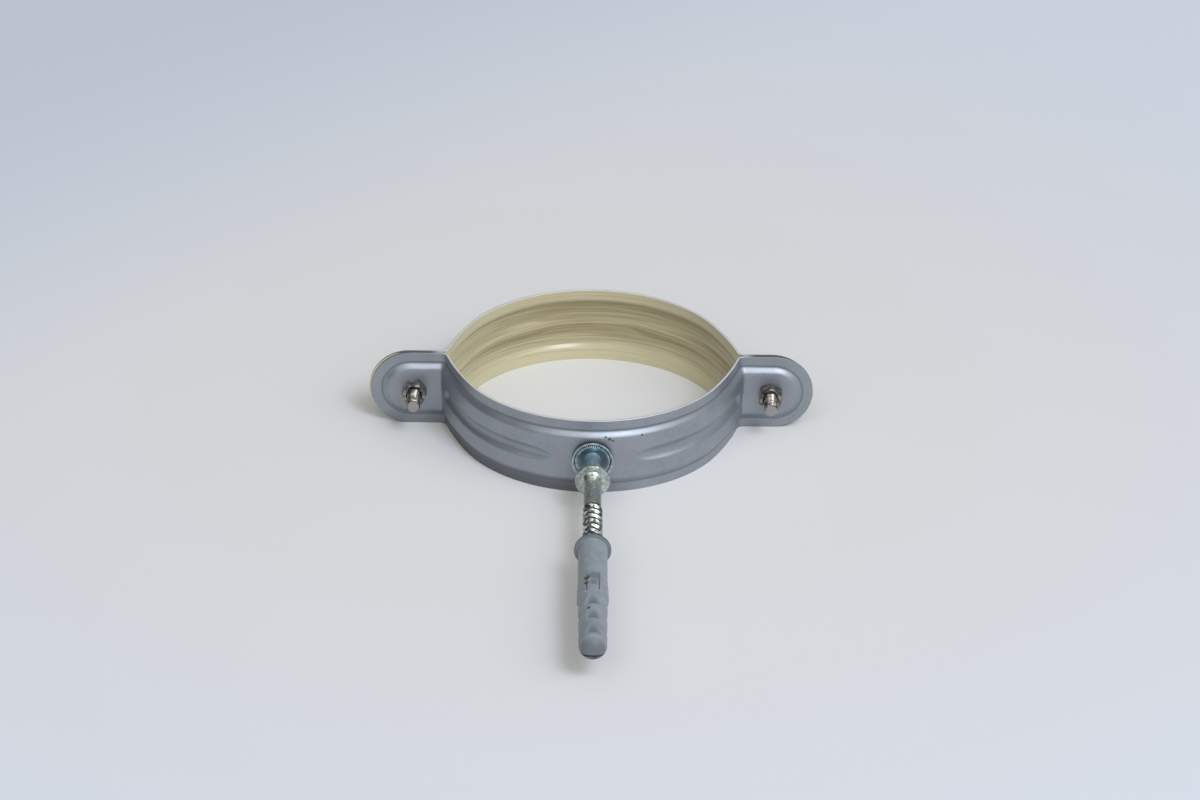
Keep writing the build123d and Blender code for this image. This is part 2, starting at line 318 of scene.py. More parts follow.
move = add(form, "GeometryNodeSetPosition", feeds={"Geometry": keep.outputs[0], "Position": place})
hand_out(form, move.outputs[0], given, made)


def srgb(red, green, blue):
    """A colour given in the usual 0-255 steps, as the shader wants it."""
    def linear(step):
        value = step / 255
        return value / 12.92 if value <= 0.04045 else ((value + 0.055) / 1.055) ** 2.4
    return linear(red), linear(green), linear(blue), 1.0


def new_finish(name, roughness, metallic=0.0):
    """A material with its Principled shader."""
    material = bpy.data.materials.new(name)
    material.use_nodes = True
    tree = material.node_tree
    shader = tree.nodes["Principled BSDF"]
    shader.inputs["Roughness"].default_value = roughness
    shader.inputs["Metallic"].default_value = metallic
    return material, tree, shader


def effect(name, sizes, vectors):
    """An empty shader node group with named inputs and one output."""
    tree = bpy.data.node_groups.new(name, "ShaderNodeTree")
    for label in vectors:
        tree.interface.new_socket(label, in_out="INPUT", socket_type="NodeSocketVector")
    for label in sizes:
        tree.interface.new_socket(label, in_out="INPUT", socket_type="NodeSocketFloat")
    tree.interface.new_socket("Value", in_out="OUTPUT", socket_type="NodeSocketFloat")
    return tree, tree.nodes.new("NodeGroupInput").outputs, tree.nodes.new("NodeGroupOutput").inputs


def noise(tree, place, scale, detail):
    """The value of a noise texture, about 0.5 in the mean."""
    feeds = {"Vector": place, "Scale": scale, "Detail": detail}
    return add(tree, "ShaderNodeTexNoise", feeds=feeds).outputs[0]


def use(tree, group, feeds):
    """The first output of an effect's node group."""
    return add(tree, "ShaderNodeGroup", {"node_tree": group}, feeds).outputs[0]


def mix(tree, amount, low, high):
    """A colour between two others."""
    node = add(tree, "ShaderNodeMix", {"data_type": "RGBA"}, {"Factor": amount})
    for socket, colour in ((node.inputs[6], low), (node.inputs[7], high)):
        if isinstance(colour, bpy.types.NodeSocket):
            tree.links.new(colour, socket)
        else:
            socket.default_value = colour
    return node.outputs[2]


# Clouds: a soft uneven value, from 0 to 1, around blotches of the given size.
clouds, given, made = effect("Clouds", ("Size", "Low", "High"), vectors=("Vector",))
cloud_scale = calc(clouds, "DIVIDE", 1.0, given["Size"])
cloud = ramp(clouds, noise(clouds, given["Vector"], cloud_scale, 4.0), given["Low"], given["High"])
clouds.links.new(cloud, made[0])

# Spot: 1 inside a ragged patch about a point, falling to 0 at its radius.
spot, given, made = effect("Spot", ("Radius",), vectors=("Vector", "Centre"))
reach = vector_math(spot, "DISTANCE", given["Vector"], given["Centre"], result="Value")
ragged = noise(spot, given["Vector"], calc(spot, "DIVIDE", 1.6, given["Radius"]), 3.0)
reach = calc(spot, "ADD", calc(spot, "DIVIDE", reach, given["Radius"]), calc(spot, "SUBTRACT", ragged, 0.5))
spot.links.new(ramp(spot, reach, 0.45, 0.75, 1.0, 0.0), made[0])


def object_place(tree):
    """Where a point is on the object."""
    return add(tree, "ShaderNodeTexCoord").outputs["Object"]


def blemish(tree, place, colour, stain, patches):
    """The colour with patches of another colour laid over it, each given as a centre and a radius in mm."""
    for centre, radius in patches:
        mask = use(tree, spot, {"Vector": place, "Centre": Vector(centre) * MM, "Radius": radius * MM})
        colour = mix(tree, mask, colour, stain)
    return colour


def roughen(tree, shader, height, strength):
    """Bump from a height value."""
    bump = add(tree, "ShaderNodeBump", feeds={"Strength": strength, "Distance": 0.1 * MM, "Height": height})
    tree.links.new(bump.outputs[0], shader.inputs["Normal"])


# Silver paint: metal flake under a thin lacquer, slightly cloudy, with painted shade in the crease beside
# the rim, painted shadow on the lower rim to the left, and a few specks of dirt above the bush.
silver_paint, tree, shader = new_finish("silver_paint", 0.46, 0.8)
place = object_place(tree)
cloudy = use(tree, clouds, {"Vector": place, "Size": 9 * MM, "Low": 0.3, "High": 0.7})
flake = use(tree, clouds, {"Vector": place, "Size": 0.5 * MM, "Low": 0.3, "High": 0.7})
paint = mix(tree, cloudy, srgb(146, 152, 159), srgb(156, 162, 169))
paint = mix(tree, calc(tree, "MULTIPLY", flake, 0.35), paint, srgb(176, 182, 190))
blank = add(tree, "ShaderNodeAttribute", {"attribute_name": "blank"}).outputs["Vector"]
off_edge = axes(tree, blank)[2]
# Painted shade: the paint is darkened in the crease at the foot of the slope beside the rim.
crease = product(
    tree, ramp(tree, off_edge, rim_width - 0.4 * MM, rim_width + 0.3 * MM),
    ramp(tree, off_edge, rim_width + 0.4 * MM, rim_width + 1.4 * MM, 0.5, 0.0),
)
paint = mix(tree, crease, paint, srgb(84, 88, 93))
at = axes(tree, place)
# Painted shadow and shade: the lower rim is darkened, most to the left, where the bush and collar shade it.
lower_rim_shade = product(
    tree, ramp(tree, at[2], -8.5 * MM, -12.2 * MM), ramp(tree, at[0], -14 * MM, 22 * MM, 0.8, 0.0),
    ramp(tree, calc(tree, "ABSOLUTE", at[0]), 48 * MM, 58 * MM, 1.0, 0.3),
)
paint = mix(tree, lower_rim_shade, paint, srgb(98, 101, 103))
olive_specks = ((4.7, -52.1, 8.9), 0.9), ((6.0, -52.0, 8.0), 1.0), ((7.2, -51.9, 7.1), 0.8)
paint = blemish(tree, place, paint, srgb(96, 92, 66), olive_specks)
paint = blemish(tree, place, paint, srgb(70, 66, 62), (((17.6, -49.2, 8.4), 0.6),))
tree.links.new(paint, shader.inputs["Base Color"])
tree.links.new(ramp(tree, cloudy, 0.0, 1.0, 0.43, 0.49, kind="LINEAR"), shader.inputs["Roughness"])
roughen(tree, shader, flake, 0.06)

# Cream back coat: a thin glossy wash rolled on along the strip, so it is streaked that way.
cream_coat, tree, shader = new_finish("cream_back_coat", 0.25)
blank = add(tree, "ShaderNodeAttribute", {"attribute_name": "blank"}).outputs["Vector"]
drawn = add(tree, "ShaderNodeMapping", feeds={"Vector": blank, "Scale": (0.025, 1.0, 0.0)}).outputs[0]
streaks = use(tree, clouds, {"Vector": drawn, "Size": 0.8 * MM, "Low": 0.36, "High": 0.66})
broad = use(tree, clouds, {"Vector": drawn, "Size": 4 * MM, "Low": 0.35, "High": 0.65})
run, height, off_edge = axes(tree, blank)
# Painted shade: the coat is darkened to the right, where the window light grazes it, and over the upper
# panel, and kept light at the rims and low down; the streaks are darkened with it.
cream_shade = product(
    tree, ramp(tree, run, -62 * MM, -8 * MM, 0.8, 1.0), ramp(tree, run, 0.0, 75 * MM, 1.0, 0.55),
    ramp(tree, off_edge, 3.0 * MM, 4.6 * MM, 0.3, 1.0), ramp(tree, height, -9.5 * MM, -4.5 * MM, 0.45, 1.0),
)
cloudy_cream_shade = product(tree, cream_shade, ramp(tree, broad, 0.0, 1.0, 0.35, 0.85, kind="LINEAR"))
coat = mix(tree, cloudy_cream_shade, srgb(208, 200, 167), srgb(152, 139, 99))
coat = mix(tree, product(tree, streaks, cream_shade, 0.5), coat, srgb(124, 110, 72))
at = axes(tree, object_place(tree))
off_middle = calc(tree, "ABSOLUTE", at[0])
ear_top = product(tree, ramp(tree, at[2], 13.6 * MM, 13.9 * MM), ramp(tree, off_middle, 53.5 * MM, 55 * MM))
tree.links.new(mix(tree, ear_top, coat, srgb(104, 110, 116)), shader.inputs["Base Color"])

# The cut edge is bare zinc round the band, and the paint has run over it on the ears.
cut_edge, tree, shader = new_finish("cut_sheet_edge", 0.38, 0.3)
off_middle = calc(tree, "ABSOLUTE", axes(tree, object_place(tree))[0])
run_over = ramp(tree, off_middle, 54 * MM, 60 * MM)
tree.links.new(mix(tree, run_over, srgb(240, 241, 238), srgb(96, 101, 106)), shader.inputs["Base Color"])

path_object = forming_path("forming_path")


def pressed_half(name, left_reach, right_reach):
    """Presses and bends one blank, and gives it its thickness."""
    half = flat_blank(name, left_reach, right_reach)
    grow(half, form, {**band_sizes, "Path": path_object, "Material": silver_paint})
    half.data.materials.append(cream_coat)
    half.data.materials.append(cut_edge)
    wall = half.modifiers.new("sheet", "SOLIDIFY")
    wall.thickness = sheet
    wall.offset = 1.0
    wall.use_even_offset = True
    wall.material_offset = 1
    wall.material_offset_rim = 2
    settle(half)
    return half


front_half = pressed_half("front_band_pressing", front_high.x, front_high.x)
rear_half = pressed_half("rear_band_pressing", rear_high.x, -rear_low.x)
rear_half.data.transform(Matrix.Rotation(pi, 4, "Z"))
bpy.data.objects.remove(path_object)
for half, body in ((front_half, "front_half"), (rear_half, "rear_half")):
    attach(half, body)
    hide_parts(body + "_band")


# ---------------------------------------------------------------------------------------------------------
# Threaded bush
# A turned steel bush, zinc plated with a bluish passivation. Its barrel is pushed through the front half and
# riveted over inside it, and its flange has a serrated rim and face that bite the sheet and the pliers.
# ---------------------------------------------------------------------------------------------------------
bush_low, bush_high = (Vector(corner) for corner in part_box("threaded_bush"))
bush_front, lip_face = -bush_low.y, -bush_high.y
bush_radius = bush_high.x
panel_face = bore_radius + panel_outside
bush_bore = 3.06 * MM
barrel_radius = 4.2 * MM
lip_radius = 5.3 * MM
dish_radius = 5.4 * MM
dish_floor = bush_front - 1.2 * MM
tooth_height = 0.3 * MM


def eased(outline, size):
    """The outline with its inner corners rounded by curves that start the given size before them."""
    points = [Vector(point) for point in outline]
    result = [points[0]]
    for before, corner, after in zip(points, points[1:], points[2:]):
        first = corner + (before - corner).normalized() * min(size, 0.45 * (before - corner).length)
        last = corner + (after - corner).normalized() * min(size, 0.45 * (after - corner).length)
        result += [first.lerp(corner, t).lerp(corner.lerp(last, t), t) for t in (0, 0.25, 0.5, 0.75, 1)]
    return [tuple(point) for point in result + [points[-1]]]


def weld(obj, distance=0.002 * MM):
    """Joins points that lie on each other, drops the slivers and faces every side outwards."""
    joined = bmesh.new()
    joined.from_mesh(obj.data)
    bmesh.ops.remove_doubles(joined, verts=joined.verts, dist=distance)
    bmesh.ops.dissolve_degenerate(joined, dist=distance, edges=joined.edges)
    bmesh.ops.holes_fill(joined, edges=[edge for edge in joined.edges if edge.is_boundary], sides=12)
    bmesh.ops.recalc_face_normals(joined, faces=joined.faces)
    joined.to_mesh(obj.data)
    joined.free()


def lathe(name, outline, around=96, centre_x=0.0, loop=False):
    """Turns an outline of (distance towards the wall, radius) about the Y axis, or one parallel to it."""
    rows = len(outline)
    verts = []
    for along, radius in outline:
        verts += [(centre_x + radius * cos(a), -along, radius * sin(a))
                  for a in np.linspace(0, 2 * pi, around + 1)[:-1]]
    faces = []
    for j in range(rows if loop else rows - 1):
        k = (j + 1) % rows
        for i in range(around):
            m = (i + 1) % around
            faces.append((j * around + i, j * around + m, k * around + m, k * around + i))
    obj = piece(name, verts, faces)
    weld(obj)
    return obj


def crisp(obj, angle=32.0):
    """Smooth shading with the edges sharper than the angle left sharp."""
    mesh = obj.data
    mesh.polygons.foreach_set("use_smooth", [True] * len(mesh.polygons))
    mesh.set_sharp_from_angle(angle=radians(angle))


tooth_sizes = {
    "Teeth": 54,
    "Ring radius": 6.95 * MM,
    "Tooth length": 0.85 * MM,
    "Tooth width": 0.5 * MM,
    "Tooth height": 2 * tooth_height,
    "Face distance": bush_front - tooth_height,
}
serrate, given, made = growing_tree("Ring of teeth", tooth_sizes)
ring = add(serrate, "GeometryNodeMeshCircle", feeds={
    "Vertices": given["Teeth"], "Radius": given["Ring radius"],
})
tooth = add(serrate, "GeometryNodeMeshCone", feeds={
    "Vertices": 4, "Radius Top": 0.56, "Radius Bottom": 0.7071, "Depth": 1.0,
})
square = add(serrate, "GeometryNodeTransform", feeds={
    "Geometry": tooth.outputs[0], "Translation": (0, 0, -0.5), "Rotation": (0, 0, pi / 4),
})
spread = add(serrate, "GeometryNodeInputPosition").outputs[0]
aim = add(serrate, "FunctionNodeAlignRotationToVector", {"axis": "X", "pivot_axis": "Z"}, {"Vector": spread})
dots = add(serrate, "GeometryNodeInstanceOnPoints", feeds={
    "Points": ring.outputs[0], "Instance": square.outputs[0], "Rotation": aim.outputs[0],
    "Scale": combined(serrate, given["Tooth length"], given["Tooth width"], given["Tooth height"]),
})
stood = add(serrate, "GeometryNodeTransform", feeds={
    "Geometry": dots.outputs[0], "Rotation": (pi / 2, 0, 0),
    "Translation": combined(serrate, 0.0, calc(serrate, "MULTIPLY", given["Face distance"], -1.0)),
})
real = add(serrate, "GeometryNodeRealizeInstances", feeds={0: stood.outputs[0]})
both = add(serrate, "GeometryNodeJoinGeometry")
for part in (given["Geometry"], real.outputs[0]):
    serrate.links.new(part, both.inputs[0])
hand_out(serrate, both.outputs[0], given, made)


def to_wall(tree, place):
    """How far a point is from the pipe's axis, towards the wall."""
    return calc(tree, "MULTIPLY", axes(tree, place)[1], -1.0)


def off_axis(tree, place):
    """How far a point is from the hanger screw's axis."""
    return vector_math(tree, "LENGTH", vector_math(tree, "MULTIPLY", place, (1, 0, 1)), result="Value")


def zinc(name, bright, dull, size, roughness, spread=0.12):
    """Zinc plating, clouded between two colours."""
    material, tree, shader = new_finish(name, roughness, 1.0)
    place = object_place(tree)
    cloudy = use(tree, clouds, {"Vector": place, "Size": size, "Low": 0.35, "High": 0.65})
    grain = use(tree, clouds, {"Vector": place, "Size": size * 0.2, "Low": 0.3, "High": 0.7})
    tree.links.new(mix(tree, cloudy, bright, dull), shader.inputs["Base Color"])
    tree.links.new(ramp(tree, cloudy, 0.0, 1.0, roughness, roughness + spread), shader.inputs["Roughness"])
    roughen(tree, shader, grain, 0.12)
    return material, tree, shader


bush_zinc, tree, shader = zinc("blue_zinc", srgb(200, 219, 222), srgb(156, 176, 182), 1.6 * MM, 0.28)
place = object_place(tree)
plating = shader.inputs["Base Color"].links[0].from_socket
reach = off_axis(tree, place)
# Painted shade: the dish inside the serrated face is darkened round the neck.
dish_shade = ramp(tree, reach, 5.2 * MM, 5.35 * MM, 1.0, 0.0)
on_face = ramp(tree, reach, 5.35 * MM, 5.5 * MM)
tooth_top = ramp(tree, to_wall(tree, place), bush_front - 0.29 * MM, bush_front - 0.24 * MM)
plating = mix(tree, dish_shade, plating, srgb(104, 124, 132))
# Painted shade: the face between the teeth is darkened almost to black, so that only the tooth tops show.
tooth_gap_shade = product(tree, calc(tree, "SUBTRACT", 1.0, tooth_top), on_face)
tree.links.new(mix(tree, tooth_gap_shade, plating, srgb(34, 44, 48)), shader.inputs["Base Color"])
scoured = product(tree, tooth_top, on_face)
tree.links.new(ramp(tree, scoured, 0.0, 1.0, 1.0, 0.35), shader.inputs["Metallic"])

stem = [
    (lip_face, bush_bore),
    (lip_face, lip_radius),
    (lip_face + 0.9 * MM, lip_radius),
    (lip_face + 0.9 * MM, barrel_radius),
    (panel_face, barrel_radius),
    (panel_face, bush_radius - 0.3 * MM),
    (bush_front - tooth_height, bush_radius - 0.3 * MM),
    (bush_front - tooth_height, dish_radius + 0.15 * MM),
    (bush_front - tooth_height - 0.1 * MM, dish_radius - 0.1 * MM),
    (dish_floor, bush_bore + 0.3 * MM),
    (dish_floor, bush_bore),
]
bush = lathe("bush", eased(stem, 0.12 * MM), loop=True)
grow(bush, serrate, {**tooth_sizes, "Material": bush_zinc})
inner_row = {"Ring radius": 5.95 * MM, "Tooth length": 0.75 * MM, "Tooth width": 0.42 * MM}
grow(bush, serrate, {**tooth_sizes, **inner_row, "Material": bush_zinc})
rim_row = {
    "Teeth": 64,
    "Ring radius": bush_radius - 0.28 * MM,
    "Tooth length": 0.5 * MM,
    "Tooth height": 1.5 * MM,
}
grow(bush, serrate, {**tooth_sizes, **rim_row, "Material": bush_zinc})
crisp(bush)
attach(bush, "front_half")
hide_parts("threaded_bush")


# ---------------------------------------------------------------------------------------------------------
# Hanger screw
# One steel blank, turned and rolled: a machine thread in the bush, a waisted neck, a collar, a plain shank
# and a wood thread with a point. Zinc plated, pale yellow-green on the collar and thread, dull on the shank.
# ---------------------------------------------------------------------------------------------------------
hanger_low, hanger_high = (Vector(corner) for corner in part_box("hanger_screw"))
screw_tip = -hanger_low.y
collar_radius = hanger_high.x
collar_back, collar_front = 66.8 * MM, 68.5 * MM
neck_radius, neck_end, flare_foot = 2.6 * MM, 55.0 * MM, 4.8 * MM
shank_radius, shank_end = 3.15 * MM, 89.0 * MM
wood_radius, wood_root, wood_pitch = 3.5 * MM, 2.55 * MM, 3.4 * MM
point_start = screw_tip - 9.0 * MM

thread_sizes = {
    "Pitch": wood_pitch,
    "Depth": wood_radius - wood_root,
    "Crest": 0.3,
    "From": shank_end,
    "To": screw_tip,
    "Run out": 1.2 * MM,
    "Centre X": 0.0,
}
cut, given, made = growing_tree("Cut thread", thread_sizes)
where = axes(cut, add(cut, "GeometryNodeInputPosition").outputs[0])
along = calc(cut, "MULTIPLY", where[1], -1.0)
across = calc(cut, "SUBTRACT", where[0], given["Centre X"])
turns = calc(cut, "DIVIDE", calc(cut, "ARCTAN2", where[2], across), 2 * pi)
phase = calc(cut, "FRACT", calc(cut, "ADD", calc(cut, "DIVIDE", along, given["Pitch"]), turns))
peak = calc(cut, "PINGPONG", calc(cut, "MULTIPLY", phase, 2.0), 1.0)
valley = ramp(cut, peak, calc(cut, "SUBTRACT", 1.0, given["Crest"]), 0.25, 0.0, 1.0)
begun = ramp(cut, along, given["From"], calc(cut, "ADD", given["From"], given["Run out"]))
ended = ramp(cut, along, calc(cut, "SUBTRACT", given["To"], given["Run out"]), given["To"], 1.0, 0.0)
squares = calc(cut, "ADD", product(cut, across, across), product(cut, where[2], where[2]))
radius = calc(cut, "MAXIMUM", calc(cut, "SQRT", squares), 0.01 * MM)
deep = product(cut, product(cut, valley, given["Depth"]), product(cut, begun, ended))
shrink = calc(cut, "SUBTRACT", 1.0, calc(cut, "MINIMUM", calc(cut, "DIVIDE", deep, radius), 0.5))
cut_x = calc(cut, "ADD", given["Centre X"], product(cut, across, shrink))
moved = combined(cut, cut_x, where[1], product(cut, where[2], shrink))
placed = add(cut, "GeometryNodeSetPosition", feeds={"Geometry": given["Geometry"], "Position": moved})
hand_out(cut, placed.outputs[0], given, made)

screw_zinc, tree, shader = zinc("yellow_zinc", srgb(214, 222, 214), srgb(166, 178, 172), 1.3 * MM, 0.24)
place = object_place(tree)
distance = to_wall(tree, place)
plating = shader.inputs["Base Color"].links[0].from_socket
blue_neck = ramp(tree, distance, collar_back - 1.2 * MM, collar_back + 0.1 * MM, 1.0, 0.0)
plating = mix(tree, blue_neck, plating, srgb(170, 192, 204))
on_shank = product(
    tree, ramp(tree, distance, collar_front + 2 * MM, collar_front + 4 * MM),
    ramp(tree, distance, shank_end - 3 * MM, shank_end - 0.5 * MM, 1.0, 0.0),
)
spots = use(tree, clouds, {"Vector": place, "Size": 1.1 * MM, "Low": 0.52, "High": 0.64})
shank_colour = mix(tree, spots, srgb(184, 190, 190), srgb(236, 238, 232))
plating = mix(tree, on_shank, plating, shank_colour)
on_thread = ramp(tree, distance, shank_end - 0.5 * MM, shank_end + 0.5 * MM)
smears = use(tree, clouds, {"Vector": place, "Size": 1.5 * MM, "Low": 0.42, "High": 0.58})
thread_colour = mix(tree, smears, srgb(92, 98, 96), srgb(198, 205, 198))
plating = mix(tree, on_thread, plating, thread_colour)
tree.links.new(plating, shader.inputs["Base Color"])
tree.links.new(ramp(tree, blue_neck, 0.0, 1.0, 1.0, 0.6), shader.inputs["Metallic"])
tree.links.new(ramp(tree, on_shank, 0.0, 1.0, 0.22, 0.42), shader.inputs["Roughness"])

waist = [(neck_end + t * (collar_back - neck_end), neck_radius + (flare_foot - neck_radius) * t ** 1.4)
         for t in np.linspace(0, 1, 13)]
blank = [(lip_face, 0.0), (lip_face, 2.6 * MM), (lip_face + 0.4 * MM, 3.0 * MM), (dish_floor, 3.0 * MM)]
blank += [(dish_floor + 0.4 * MM, neck_radius), *waist]
blank += eased([waist[-1], (collar_back, collar_radius), (collar_front, collar_radius),
                (collar_front, shank_radius + 0.8 * MM), (collar_front + 0.8 * MM, shank_radius),
                (shank_end - 0.6 * MM, shank_radius)], 0.3 * MM)[1:]
blank += [(shank_end, wood_radius - 0.02 * MM)]
blank += [(along, wood_radius) for along in np.linspace(shank_end + 0.15 * MM, point_start, 380)]
blank += [(point_start + t * (screw_tip - point_start), wood_radius + t * (0.4 * MM - wood_radius))
          for t in np.linspace(0, 1, 60)[1:]]
blank += [(screw_tip, 0.0)]
hanger = lathe("hanger", blank, around=72)
grow(hanger, cut, {**thread_sizes, "Material": screw_zinc})
crisp(hanger, 50.0)
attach(hanger, "hanger")
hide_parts("hanger_screw")


# ---------------------------------------------------------------------------------------------------------
# Wall plug
# Moulded in one piece in grey nylon, pushed over the wood thread. Smooth at the flange, then two locking
# tongues over a bulge, scalloped barbs, and a round nose split by a slit so the screw can spread it.
# ---------------------------------------------------------------------------------------------------------
plug_low, plug_high = (Vector(corner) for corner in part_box("wall_plug"))
plug_face, plug_end = -plug_high.y, -plug_low.y
plug_flange = plug_high.x
plug_neck, plug_bulge, plug_nose = 5.1 * MM, 5.4 * MM, 4.8 * MM
tongue_start, tongue_end = plug_face + 22.5 * MM, plug_face + 34.9 * MM
tongue_length = tongue_end - tongue_start
nose_length, nose_flat = 3.6 * MM, 1.2 * MM
nose_start = plug_end - nose_length
wood_bore, pilot, pilot_stop = 3.58 * MM, 1.5 * MM, 3.0 * MM
slit_length, slit_width, slit_drop = plug_end - plug_face - 29.8 * MM, 0.8 * MM, 2.01 * MM
slot_width, slot_height = 0.5 * MM, 5.6 * MM
slot_x, slot_z = 2.15 * MM, 7.1 * MM         # middle of a slot beside a tongue, off the plug's middle
back_run = 0.02 * MM                         # length of a barb's abrupt back
overrun = 1 * MM                             # how far a cutting shape reaches past what it cuts
barb_first, barb_pitch, side_lead = plug_face + 43.6 * MM, 9.0 * MM, 3.5 * MM

barb_sizes = {
    "First back": barb_first,
    "Side lead": side_lead,
    "Pitch": barb_pitch,
    "Land": 0.8 * MM,
    "Depth": 1.0 * MM,
    "Neck radius": plug_neck,
    "Stretch from": tongue_end,
    "Barbs": 3,
}
barb, given, made = growing_tree("Slope the barbs", barb_sizes)
where = axes(barb, add(barb, "GeometryNodeInputPosition").outputs[0])
along = calc(barb, "MULTIPLY", where[1], -1.0)


def sloped(value, first):
    """The coordinate held under the flats that run up to each barb's back."""
    steps = calc(barb, "CEIL", calc(barb, "DIVIDE", calc(barb, "SUBTRACT", along, first), given["Pitch"]))
    back = calc(barb, "ADD", first, calc(barb, "MULTIPLY", steps, given["Pitch"]))
    crest = calc(barb, "ADD", calc(barb, "SUBTRACT", back, given["Pitch"]), given["Land"])
    start = calc(barb, "MAXIMUM", crest, given["Stretch from"])
    slope = ramp(barb, along, start, back, kind="LINEAR")
    inside = product(barb, calc(barb, "LESS_THAN", steps, given["Barbs"]),
                     calc(barb, "GREATER_THAN", along, given["Stretch from"]))
    flat = calc(barb, "SUBTRACT", given["Neck radius"], product(barb, slope, given["Depth"]))
    limit = calc(barb, "ADD", flat, calc(barb, "SUBTRACT", 1.0, inside))
    return calc(barb, "MAXIMUM", calc(barb, "MINIMUM", value, limit), calc(barb, "MULTIPLY", limit, -1.0))


flat_x = sloped(where[0], calc(barb, "SUBTRACT", given["First back"], given["Side lead"]))
moved = combined(barb, flat_x, where[1], sloped(where[2], given["First back"]))
placed = add(barb, "GeometryNodeSetPosition", feeds={"Geometry": given["Geometry"], "Position": moved})
hand_out(barb, placed.outputs[0], given, made)

plug_nylon, tree, shader = new_finish("grey_nylon", 0.5)
place = object_place(tree)
cloudy = use(tree, clouds, {"Vector": place, "Size": 3 * MM, "Low": 0.3, "High": 0.7})
fine = use(tree, clouds, {"Vector": place, "Size": 0.6 * MM, "Low": 0.35, "High": 0.65})
nylon = mix(tree, cloudy, srgb(136, 145, 150), srgb(148, 157, 162))
nylon = mix(tree, calc(tree, "MULTIPLY", fine, 0.25), nylon, srgb(150, 158, 164))
distance = to_wall(tree, place)
# Painted shade: the flange and the front of the nose are darkened.
ends = calc(tree, "ADD", ramp(tree, distance, plug_face + 0.7 * MM, plug_face + 0.9 * MM, 1.0, 0.0),
            ramp(tree, distance, nose_start + 0.5 * MM, plug_end - 0.8 * MM, 0.0, 0.75))
nylon = mix(tree, ends, nylon, srgb(86, 93, 98))
# Painted shade: the flats sunk in front of each barb are darkened the deeper they go.
sunk_shade = product(
    tree, ramp(tree, off_axis(tree, place), 4.95 * MM, 4.4 * MM, 0.0, 0.75, kind="LINEAR"),
    ramp(tree, distance, nose_start, nose_start + 0.5 * MM, 1.0, 0.0),
)
nylon = mix(tree, sunk_shade, nylon, srgb(92, 99, 103))
rubbed_tongues = ((0.3, -141.0, 5.2), 3.4), ((0.2, -145.5, 5.2), 2.6)
nylon = blemish(tree, place, nylon, srgb(118, 126, 131), rubbed_tongues)
# Brown patches: stains beside the tongues, and one darkening the underside of the nose below the slit.
brown_patches = (
    ((-2.2, -142.0, 4.9), 1.9), ((-2.3, -145.5, 4.9), 1.5), ((-1.4, -161.5, 4.8), 1.1),
    ((2.2, -139.6, 4.8), 0.8), ((0.6, -181.0, -3.4), 1.5),
)
nylon = blemish(tree, place, nylon, srgb(88, 76, 62), brown_patches)
tree.links.new(nylon, shader.inputs["Base Color"])
roughen(tree, shader, fine, 0.15)


def bore(target, cutters, kind="DIFFERENCE"):
    """Cuts the target with closed shapes, and removes them."""
    for shape in cutters:
        knife = target.modifiers.new("cut", "BOOLEAN")
        knife.operation = kind
        knife.solver = "EXACT"
        knife.object = shape
    settle(target)
    weld(target, 0.004 * MM)
    for shape in cutters:
        bpy.data.objects.remove(shape)


def block(name, centre, size):
    """A closed box."""
    corners = [(centre[0] + i * size[0] / 2, centre[1] + j * size[1] / 2, centre[2] + k * size[2] / 2)
               for i in (-1, 1) for j in (-1, 1) for k in (-1, 1)]
    sides = [(0, 1, 3, 2), (4, 6, 7, 5), (0, 4, 5, 1), (2, 3, 7, 6), (0, 2, 6, 4), (1, 5, 7, 3)]
    return piece(name, corners, sides, smooth=False)


neck_part = eased([
    (plug_face, 0.0),
    (plug_face, plug_flange),
    (plug_face + 0.8 * MM, plug_flange),
    (plug_face + 0.8 * MM, plug_neck),
    (tongue_start, plug_neck),
    (tongue_end - 5 * MM, plug_bulge),
    (tongue_end, plug_bulge),
    (tongue_end + back_run, plug_neck),
], 0.25 * MM)
backs = [barb_first + i * barb_pitch - lead for i in range(3) for lead in (0, side_lead)]
even_stops = np.linspace(tongue_end + 0.1 * MM, nose_start, 130)
stops = np.unique([*even_stops, *backs, *(back + back_run for back in backs)])
barbed = [(stop, plug_neck + (plug_nose - plug_neck) * (stop - tongue_end) / (nose_start - tongue_end))
          for stop in stops]
nose = [(nose_start + nose_length * sin(a), nose_flat + (plug_nose - nose_flat) * cos(a))
        for a in np.linspace(0, pi / 2, 14)[1:]]
plug = lathe("plug", neck_part + barbed + nose + [(plug_end, 0.0)], around=144)
grow(plug, barb, {**barb_sizes, "Material": plug_nylon})
hollow = lathe("hollow", [
    (plug_end - pilot_stop, 0.0),
    (plug_end - pilot_stop, pilot),
    (screw_tip + wood_bore - pilot, pilot),
    (screw_tip, wood_bore),
    (plug_face - overrun, wood_bore),
    (plug_face - overrun, 0.0),
], around=48)
slit = block("slit", (0, -plug_end + slit_length / 2 - overrun, -slit_drop),
             (20 * MM, slit_length + 2 * overrun, slit_width))
slots = [block("slot", (side * slot_x, -tongue_start - tongue_length / 2, face * slot_z),
               (slot_width, tongue_length - 0.3 * MM, slot_height))
         for side in (-1, 1) for face in (-1, 1)]
bore(plug, [hollow, slit, *slots])
crisp(plug, 30.0)
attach(plug, "plug")
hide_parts("wall_plug")


